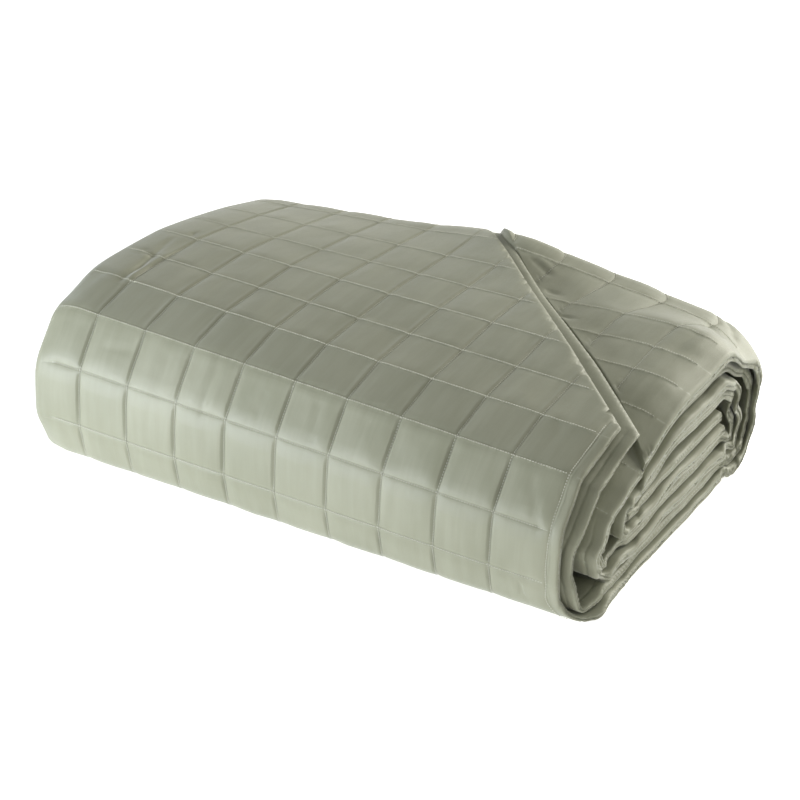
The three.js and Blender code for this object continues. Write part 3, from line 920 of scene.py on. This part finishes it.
class SheetMesh:
    """Points and triangles of a closed sheet, with each point's place on the flat cloth."""

    LEVEL = 0.001

    def __init__(self) -> None:
        """Starts with no points."""
        self.positions: list[Array] = []
        self.places: list[Array] = []
        self.nearness: list[Array] = []
        self.triangles: list[tuple[int, int, int]] = []
        self.count = 0

    def add(self, points: Array, w: Array, v: Array, near: Array) -> None:
        """Adds points, with their places along and across the cloth and their nearness to a seam each way."""
        self.positions.append(points)
        self.places.append(np.stack([w, v, np.zeros(len(w))], axis=-1))
        self.nearness.append(near)
        self.count += len(points)

    def strip(
        self,
        a: list[tuple[float, int]],
        b: list[tuple[float, int]],
        turned: bool = False,
        mirrored: bool = False,
    ) -> None:
        """Joins two chains of points by one strip of triangles.

        Args:
            a: the first chain, each point with its place along it.
            b: the second chain.
            turned: whether the triangles face the other way.
            mirrored: whether the strip steps along the second chain first where both have a point.
        """
        level = -self.LEVEL if mirrored else self.LEVEL
        i = j = 0
        last_a, last_b = len(a) - 1, len(b) - 1
        while i < last_a or j < last_b:
            nearer = i < last_a and j < last_b and a[i + 1][0] + a[i][0] < b[j + 1][0] + b[j][0] + level
            if nearer or j == last_b:
                corner = (a[i][1], b[j][1], a[i + 1][1])
                i += 1
            else:
                corner = (a[i][1], b[j][1], b[j + 1][1])
                j += 1
            self.triangles.append((corner[0], corner[2], corner[1]) if turned else corner)

    def to_object(self, name: str) -> bpy.types.Object:
        """Writes the sheet into a new object.

        Args:
            name: the object's name.

        Returns:
            The object, smoothly shaded, with the attributes cloth_place, in metres, seam_near and row_near.
        """
        mesh = bpy.data.meshes.new(name)
        points = np.concatenate(self.positions) * MM
        mesh.from_pydata(points.tolist(), [], self.triangles)
        places = mesh.attributes.new("cloth_place", "FLOAT_VECTOR", "POINT")
        places.data.foreach_set("vector", (np.concatenate(self.places) * MM).astype(np.float32).ravel())
        for key, values in zip(("seam_near", "row_near"), np.concatenate(self.nearness, axis=1)):
            mesh.attributes.new(key, "FLOAT", "POINT").data.foreach_set("value", values.astype(np.float32))
        mesh.polygons.foreach_set("use_smooth", np.ones(len(mesh.polygons), bool))
        mesh.update()
        piece = bpy.data.objects.new(name, mesh)
        bpy.context.scene.collection.objects.link(piece)
        return piece


@dataclass
class SeamStitches:
    """The rows of stitches that hold the quilting, one bead of thread for each stitch."""

    cloth: QuiltCloth
    pitch: float = 0.0027
    length: float = 0.0019
    thickness: float = 0.0011
    lift: float = 0.5
    seed: int = 7
    guide_step: float = 4.0
    flap_margin: float = 26.0
    past_foot: float = 3.0
    last_shown: float = 1440.0

    def _guide(self, places: Sequence[tuple[float, float]]) -> Array:
        """Points on the cloth's face above places X and v, which are in millimetres."""
        x, v = np.array(places).T
        half = self.cloth.ply / 2 - self.cloth.dip(x, v) + self.lift
        inset = np.array([self.cloth.edge_at(float(b), Ply.OUTER)[0] for b in v]) - x
        w = x - self.cloth.left - self.cloth.radius + self.cloth.turn
        return self.cloth.face_points(w, v, Side.FACE.value, half, inset)

    def _lines(self) -> list[list[tuple[float, float]]]:
        """The seams that show, each as places X and v."""
        cloth, step = self.cloth, self.guide_step
        first_shown = 5 * cloth.pile.square
        sewn_to = cloth.foot + self.past_foot
        stretches = (
            (self.flap_margin, sewn_to),
            (cloth.wound_from, cloth.back_top),
            (cloth.back_top, self.last_shown),
        )
        lines: list[list[tuple[float, float]]] = []
        for i in range(1, cloth.seams + 1):
            x = i * cloth.pile.square
            for low, high in stretches:
                if low >= cloth.back_top and x < first_shown:
                    continue
                line = []
                for v in np.arange(low, high, step):
                    skew = cloth.skew_at(float(v))
                    if x + skew < cloth.edge_at(float(v), Ply.OUTER)[0] - cloth.hem_width - 1:
                        line.append((x + skew, float(v)))
                    elif line:
                        lines.append(line)
                        line = []
                lines.append(line)
        for v in cloth.rows_of_stitches:
            if self.flap_margin < v < sewn_to or cloth.wound_from < v < self.last_shown:
                low = cloth.left + cloth.radius + 3 if v < cloth.back_top else first_shown
                high = cloth.edge_at(v, Ply.OUTER)[0] - cloth.hem_width - 1
                lines.append([(float(x), v) for x in np.arange(low, high, step)])
        hem = [float(v) for v in np.arange(cloth.corner_row(Ply.OUTER) + 8, sewn_to, step)]
        lines.append([(cloth.edge_at(v, Ply.OUTER)[0] - cloth.hem_width, v) for v in hem])
        return [line for line in lines if len(line) > 2]

    def _tree(self, material: bpy.types.Material) -> bpy.types.NodeTree:
        """The node tree that sets beads along the guide lines."""
        tree = bpy.data.node_groups.new("stitches_on_lines", "GeometryNodeTree")
        sockets = tree.interface
        sockets.new_socket("Guide lines", in_out="INPUT", socket_type="NodeSocketGeometry")
        for name in ("Pitch", "Length", "Thickness"):
            sockets.new_socket(name, in_out="INPUT", socket_type="NodeSocketFloat")
        sockets.new_socket("Stitches", in_out="OUTPUT", socket_type="NodeSocketGeometry")
        add, link = tree.nodes.new, tree.links.new
        given, result = add("NodeGroupInput"), add("NodeGroupOutput")
        curve, resample = add("GeometryNodeMeshToCurve"), add("GeometryNodeResampleCurve")
        resample.mode = "LENGTH"
        bead = add("GeometryNodeMeshIcoSphere")
        bead.inputs["Radius"].default_value = 0.5
        bead.inputs["Subdivisions"].default_value = 1
        place, tangent = add("GeometryNodeInstanceOnPoints"), add("GeometryNodeInputTangent")
        align = add("FunctionNodeAlignEulerToVector")
        align.axis = "X"
        varied = add("FunctionNodeRandomValue")
        varied.data_type = "FLOAT"
        floats = [socket for socket in varied.inputs if socket.type == "VALUE"]
        floats[0].default_value, floats[1].default_value = 0.75, 1.1
        varied.inputs["Seed"].default_value = self.seed
        longer = add("ShaderNodeMath")
        longer.operation = "MULTIPLY"
        size = add("ShaderNodeCombineXYZ")
        realize, paint = add("GeometryNodeRealizeInstances"), add("GeometryNodeSetMaterial")
        paint.inputs["Material"].default_value = material
        link(given.outputs["Guide lines"], curve.inputs["Mesh"])
        link(curve.outputs["Curve"], resample.inputs["Curve"])
        link(given.outputs["Pitch"], resample.inputs["Length"])
        link(resample.outputs["Curve"], place.inputs["Points"])
        link(bead.outputs["Mesh"], place.inputs["Instance"])
        link(tangent.outputs["Tangent"], align.inputs["Vector"])
        link(align.outputs["Rotation"], place.inputs["Rotation"])
        link(given.outputs["Length"], longer.inputs[0])
        link([s for s in varied.outputs if s.type == "VALUE"][0], longer.inputs[1])
        link(longer.outputs[0], size.inputs["X"])
        link(given.outputs["Thickness"], size.inputs["Y"])
        link(given.outputs["Thickness"], size.inputs["Z"])
        link(size.outputs["Vector"], place.inputs["Scale"])
        link(place.outputs["Instances"], realize.inputs["Geometry"])
        link(realize.outputs["Geometry"], paint.inputs["Geometry"])
        link(paint.outputs["Geometry"], result.inputs["Stitches"])
        return tree

    def build(self, material: bpy.types.Material) -> bpy.types.Object:
        """Makes the stitches.

        Args:
            material: the thread's material.

        Returns:
            The stitches as one new object at the origin.
        """
        points: list[Array] = []
        edges: list[tuple[int, int]] = []
        for line in self._lines():
            start = sum(len(p) for p in points)
            points.append(self._guide(line) * MM)
            edges += [(start + i, start + i + 1) for i in range(len(line) - 1)]
        guide_mesh = bpy.data.meshes.new("stitch_guides")
        guide_mesh.from_pydata(np.concatenate(points).tolist(), edges, [])
        guide = bpy.data.objects.new("stitch_guides", guide_mesh)
        bpy.context.scene.collection.objects.link(guide)
        tree = self._tree(material)
        modifier = guide.modifiers.new("stitches", "NODES")
        modifier.node_group = tree
        sizes = {"Pitch": self.pitch, "Length": self.length, "Thickness": self.thickness}
        for item in tree.interface.items_tree:
            if item.name in sizes and item.in_out == "INPUT":
                modifier[item.identifier] = sizes[item.name]
        graph = bpy.context.evaluated_depsgraph_get()
        mesh = bpy.data.meshes.new_from_object(guide.evaluated_get(graph))
        bpy.data.objects.remove(guide)
        mesh.name = "seam_stitches"
        mesh.polygons.foreach_set("use_smooth", np.ones(len(mesh.polygons), bool))
        stitches = bpy.data.objects.new("seam_stitches", mesh)
        bpy.context.scene.collection.objects.link(stitches)
        LOG.info("stitches: %d triangles", len(mesh.polygons))
        return stitches


# The finishes
class Value:
    """A number socket in a shader, which takes part in Python sums."""

    def __init__(self, shader: "Shader", socket: bpy.types.NodeSocket) -> None:
        """Wraps a socket.

        Args:
            shader: the shader that gets the Math nodes.
            socket: the socket with the number.
        """
        self.shader = shader
        self.socket = socket

    def _math(self, operation: str, first: Any, second: Any = None) -> "Value":
        """One Math node."""
        inputs = {0: first} if second is None else {0: first, 1: second}
        return self.shader.node("ShaderNodeMath", {"operation": operation}, inputs).value()

    def __add__(self, other: Any) -> "Value":
        """self + other."""
        return self._math("ADD", self, other)

    __radd__ = __add__

    def __mul__(self, other: Any) -> "Value":
        """self * other."""
        return self._math("MULTIPLY", self, other)

    __rmul__ = __mul__

    def sine(self) -> "Value":
        """The sine."""
        return self._math("SINE", self)

    def ramp(self, low: float, high: float) -> "Value":
        """A soft step from 0 at low to 1 at high."""
        settings = {"interpolation_type": "SMOOTHSTEP"}
        return self.shader.node("ShaderNodeMapRange", settings, {0: self, 1: low, 2: high}).value()


class NodeHandle:
    """A shader node, whose outputs are read by name or place."""

    def __init__(self, shader: "Shader", node: bpy.types.Node) -> None:
        """Wraps a node.

        Args:
            shader: the shader that holds it.
            node: the node.
        """
        self.shader = shader
        self.node = node

    def out(self, key: int | str = 0) -> bpy.types.NodeSocket:
        """One of the node's outputs."""
        return self.node.outputs[key]

    def value(self, key: int | str = 0) -> Value:
        """One of the node's outputs, as a number."""
        return Value(self.shader, self.out(key))


class Shader:
    """A material's node tree under construction."""

    def __init__(self, name: str) -> None:
        """Starts an empty material.

        Args:
            name: the material's name.
        """
        self.material = bpy.data.materials.new(name)
        self.material.use_nodes = True
        self.tree = self.material.node_tree
        self.tree.nodes.clear()

    def node(
        self, kind: str, settings: dict[str, Any] | None = None, inputs: dict[Any, Any] | None = None
    ) -> NodeHandle:
        """Adds a node.

        Args:
            kind: the node's type.
            settings: its own settings, set first.
            inputs: a value or a link for each socket, by name or place.

        Returns:
            The node's handle.
        """
        node = self.tree.nodes.new(kind)
        for key, setting in (settings or {}).items():
            setattr(node, key, setting)
        for key, given in (inputs or {}).items():
            source = given.socket if isinstance(given, Value) else given
            if isinstance(source, bpy.types.NodeSocket):
                self.tree.links.new(source, node.inputs[key])
            else:
                node.inputs[key].default_value = source
        return NodeHandle(self, node)

    def mix(self, share: Any, first: Any, second: Any) -> bpy.types.NodeSocket:
        """A colour between two others."""
        handle = self.node("ShaderNodeMix", {"data_type": "RGBA"}, {0: share, 6: first, 7: second})
        return handle.out(2)

    def noise(
        self, place: bpy.types.NodeSocket, scale: float, detail: float = 2.0, rough: float = 0.5
    ) -> Value:
        """Noise at a place."""
        inputs = {"Vector": place, "Scale": scale, "Detail": detail, "Roughness": rough}
        return self.node("ShaderNodeTexNoise", {"noise_dimensions": "3D"}, inputs).value("Fac")

    def stretched(
        self, place: bpy.types.NodeSocket, scale: tuple[float, float, float]
    ) -> bpy.types.NodeSocket:
        """A place multiplied along each axis."""
        return self.node("ShaderNodeVectorMath", {"operation": "MULTIPLY"}, {0: place, 1: scale}).out()


@dataclass(frozen=True)
class Sateen:
    """Sage green cotton sateen, softly shining, with its weave, puckers and creases, with painted shade near
    the seam channels, painted highlights along the rows of stitches and painted sheen streaks.
    """

    name: str = "sage_sateen"
    light: tuple[float, float, float, float] = (0.283, 0.288, 0.203, 1)
    dark: tuple[float, float, float, float] = (0.225, 0.232, 0.155, 1)
    painted_sheen: tuple[float, float, float, float] = (0.328, 0.333, 0.243, 1)
    shadow: tuple[float, float, float, float] = (0.100, 0.105, 0.062, 1)
    row_highlight: tuple[float, float, float, float] = (0.420, 0.425, 0.320, 1)
    roughness: float = 0.46
    sheen: float = 0.35
    weave_pitch: float = 0.0009

    def material(self) -> bpy.types.Material:
        """Builds the material.

        Returns:
            The finished material.
        """
        s = Shader(self.name)
        place = s.node("ShaderNodeAttribute", {"attribute_name": "cloth_place"}).out("Vector")
        spot = s.node("ShaderNodeTexCoord").out("Object")
        parts = s.node("ShaderNodeSeparateXYZ", None, {0: place})
        across, along = parts.value(0), parts.value(1)
        patches = s.noise(spot, 9.0, 3.0)
        threads = s.noise(s.stretched(place, (900.0, 40.0, 1.0)), 1.0, 2.0)
        slubs = s.noise(s.stretched(place, (60.0, 700.0, 1.0)), 1.0, 2.0)
        seam = s.node("ShaderNodeAttribute", {"attribute_name": "seam_near"}).value("Fac")
        row = s.node("ShaderNodeAttribute", {"attribute_name": "row_near"}).value("Fac")
        row_highlight_breaks = s.noise(s.stretched(place, (260.0, 30.0, 1.0)), 1.0, 2.0)
        tone = patches.ramp(0.3, 0.7) * 0.6 + threads * 0.25 + slubs * 0.15
        # Painted highlight: a paler colour along the rows of stitches, broken up by noise, stands in for
        # light catching the seam lines.
        sewn = s.mix(row * row_highlight_breaks.ramp(0.4, 0.62), s.mix(tone, self.dark, self.light), self.row_highlight)
        # Painted shade: the colour darkens towards the shadow tone near the seam channels.
        shaded = s.mix(seam * 0.45, sewn, self.shadow)
        turns = math.tau / self.weave_pitch
        weave = (across * turns).sine() * (along * turns).sine()
        creases = s.noise(s.stretched(place, (1.0, 0.5, 1.0)), 75.0, 2.0, 0.5)
        soft = s.noise(s.stretched(place, (1.0, 0.35, 1.0)), 30.0, 2.0, 0.5)
        puckers = s.noise(s.stretched(place, (1.0, 1.0, 1.0)), 260.0, 1.0, 0.5) * seam.ramp(0.02, 0.5)
        height = creases * 0.22 + soft * 0.5 + puckers * 0.3 + weave * 0.02 + threads * 0.04
        bump = s.node("ShaderNodeBump", None, {"Strength": 0.4, "Distance": 0.004, "Height": height})
        sheen_streaks = s.noise(s.stretched(place, (90.0, 9.0, 1.0)), 1.0, 2.0, 0.6)
        rough = patches * 0.08 + sheen_streaks * 0.16 + (self.roughness - 0.12)
        # Painted sheen: the colour is lightened towards a paler tone along the stretched streaks, which also
        # vary the roughness.
        color = s.mix(sheen_streaks.ramp(0.35, 0.75) * 0.5, shaded, s.mix(tone, self.light, self.painted_sheen))
        shader = s.node(
            "ShaderNodeBsdfPrincipled",
            None,
            {
                "Base Color": color,
                "Roughness": rough,
                "Sheen Weight": self.sheen,
                "Sheen Roughness": 0.45,
                "Sheen Tint": (0.95, 0.98, 1.0, 1),
                "Normal": bump.out(),
            },
        )
        s.node("ShaderNodeOutputMaterial", None, {"Surface": shader.out()})
        return s.material


@dataclass(frozen=True)
class Thread:
    """The sewing thread of the seams."""

    name: str = "seam_thread"
    color: tuple[float, float, float, float] = (0.66, 0.66, 0.55, 1)
    roughness: float = 0.5

    def material(self) -> bpy.types.Material:
        """Builds the material.

        Returns:
            The finished material.
        """
        s = Shader(self.name)
        spot = s.node("ShaderNodeTexCoord").out("Object")
        tone = s.noise(spot, 240.0, 2.0)
        darker = tuple(0.8 * c for c in self.color[:3]) + (1,)
        shader = s.node(
            "ShaderNodeBsdfPrincipled",
            None,
            {"Base Color": s.mix(tone, darker, self.color), "Roughness": self.roughness, "Sheen Weight": 0.2},
        )
        s.node("ShaderNodeOutputMaterial", None, {"Surface": shader.out()})
        return s.material


# The studio
@dataclass(frozen=True)
class Studio:
    """The pale floor, the soft lights and the camera."""

    target: tuple[float, float, float] = (0.1536, -0.2683, 0.2160)
    azimuth: float = 31.64
    elevation: float = 28.88
    distance: float = 1.8326
    lens: float = 99.36
    sensor: float = 36.0
    floor_size: float = 14.0
    floor_tone: float = 0.85
    floor_glow: float = 0.75
    world_tone: float = 0.43
    key_color: tuple[float, float, float] = (0.88, 0.94, 1.04)
    back_color: tuple[float, float, float] = (1.0, 0.98, 0.88)

    def camera(self) -> None:
        """Sets the camera at the angle of view."""
        data = bpy.data.cameras.new("camera")
        data.lens, data.sensor_width = self.lens, self.sensor
        camera = bpy.data.objects.new("camera", data)
        a, e = math.radians(self.azimuth), math.radians(self.elevation)
        back = Vector((math.sin(a) * math.cos(e), -math.cos(a) * math.cos(e), math.sin(e)))
        camera.location = Vector(self.target) + back * self.distance
        camera.rotation_euler = (-back).to_track_quat("-Z", "Y").to_euler()
        bpy.context.scene.collection.objects.link(camera)
        bpy.context.scene.camera = camera

    def _area(
        self,
        name: str,
        place: tuple[float, float, float],
        size: float,
        watts: float,
        color: tuple[float, float, float] = (1, 1, 1),
    ) -> None:
        """One soft area light that looks at the bundle."""
        data = bpy.data.lights.new(name, "AREA")
        data.shape, data.size, data.energy, data.color = "DISK", size, watts, color
        light = bpy.data.objects.new(name, data)
        light.location = place
        light.rotation_euler = (-Vector(place)).to_track_quat("-Z", "Y").to_euler()
        bpy.context.scene.collection.objects.link(light)

    def lights(self) -> None:
        """Adds the lights and the pale surroundings."""
        self._area("key_light", (-1.1, -1.45, 0.3), 0.5, 21, self.key_color)
        self._area("low_light", (-0.6, -1.15, 0.03), 0.5, 7, self.key_color)
        self._area("back_light", (1.0, 2.55, 1.15), 2.2, 92, self.back_color)
        world = bpy.data.worlds.new("surroundings")
        world.use_nodes = True
        background = world.node_tree.nodes["Background"]
        background.inputs["Color"].default_value = (1, 1, 1, 1)
        background.inputs["Strength"].default_value = self.world_tone
        bpy.context.scene.world = world
        bpy.context.scene.view_settings.view_transform = "Standard"

    def floor(self) -> bpy.types.Object:
        """Adds the pale floor.

        Returns:
            The floor.
        """
        half = self.floor_size / 2
        mesh = bpy.data.meshes.new("floor")
        corners = [(-half, -half, 0), (half, -half, 0), (half, half, 0), (-half, half, 0)]
        mesh.from_pydata(corners, [], [(0, 1, 2, 3)])
        floor = bpy.data.objects.new("floor", mesh)
        bpy.context.scene.collection.objects.link(floor)
        s = Shader("pale_floor")
        tone = (self.floor_tone, self.floor_tone, self.floor_tone, 1)
        glow = {"Emission Color": (1, 1, 1, 1), "Emission Strength": self.floor_glow}
        shader = s.node("ShaderNodeBsdfPrincipled", None, {"Base Color": tone, "Roughness": 0.8, **glow})
        s.node("ShaderNodeOutputMaterial", None, {"Surface": shader.out()})
        mesh.materials.append(s.material)
        return floor


def main() -> None:
    """Builds the cover, its stitches and the studio."""
    studio = Studio()
    studio.camera()
    studio.lights()
    cloth = QuiltCloth()
    cover = cloth.build()
    cover.data.materials.append(Sateen().material())
    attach(cover, "root")
    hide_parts("quilt")
    stitches = SeamStitches(cloth).build(Thread().material())
    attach(stitches, "root")
    floor = studio.floor()


if __name__ == "__main__":
    logging.basicConfig(level=logging.INFO)
    main()
